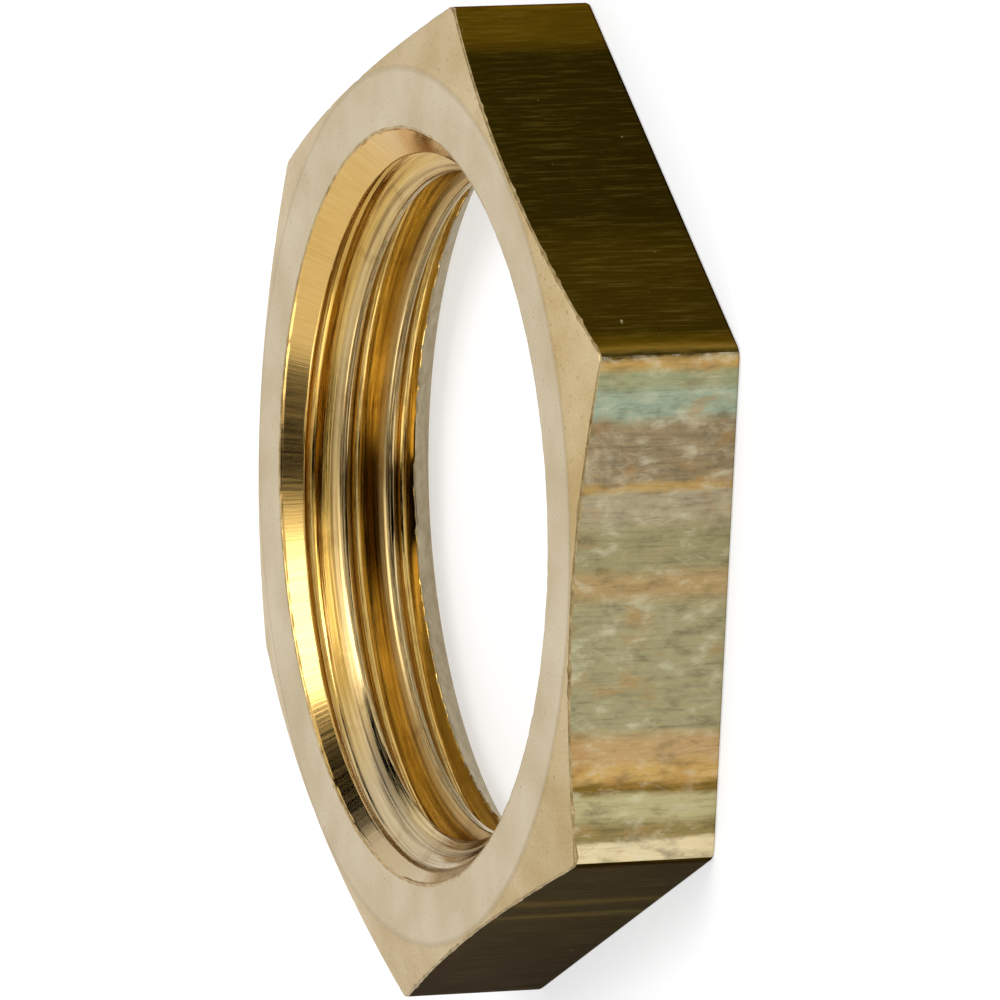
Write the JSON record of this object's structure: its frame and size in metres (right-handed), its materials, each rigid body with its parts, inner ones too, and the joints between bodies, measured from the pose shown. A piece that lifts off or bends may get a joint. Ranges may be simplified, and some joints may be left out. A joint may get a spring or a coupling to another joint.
{
  "type": "pipe locknut",
  "caption": "Flat brass hexagonal locknut with a right-hand parallel pipe thread, a coned front face and countersunk mouths, for locking a threaded pipe or tail in place.",
  "frame": {"origin": "centre of the flat back face, on the thread's axis", "axes": "+Z along the thread's axis from the flat back face to the coned front face, +X through a corner of the hexagon, +Y through the middle of a flat"},
  "size_m": [0.0368, 0.032, 0.006],
  "materials": {
    "brass": "turned front face, bore and countersinks satin, drawn flats tarnished and streaked"
  },
  "bodies": {
    "root": {"locknut": "brass"}
  },
  "joints": []
}
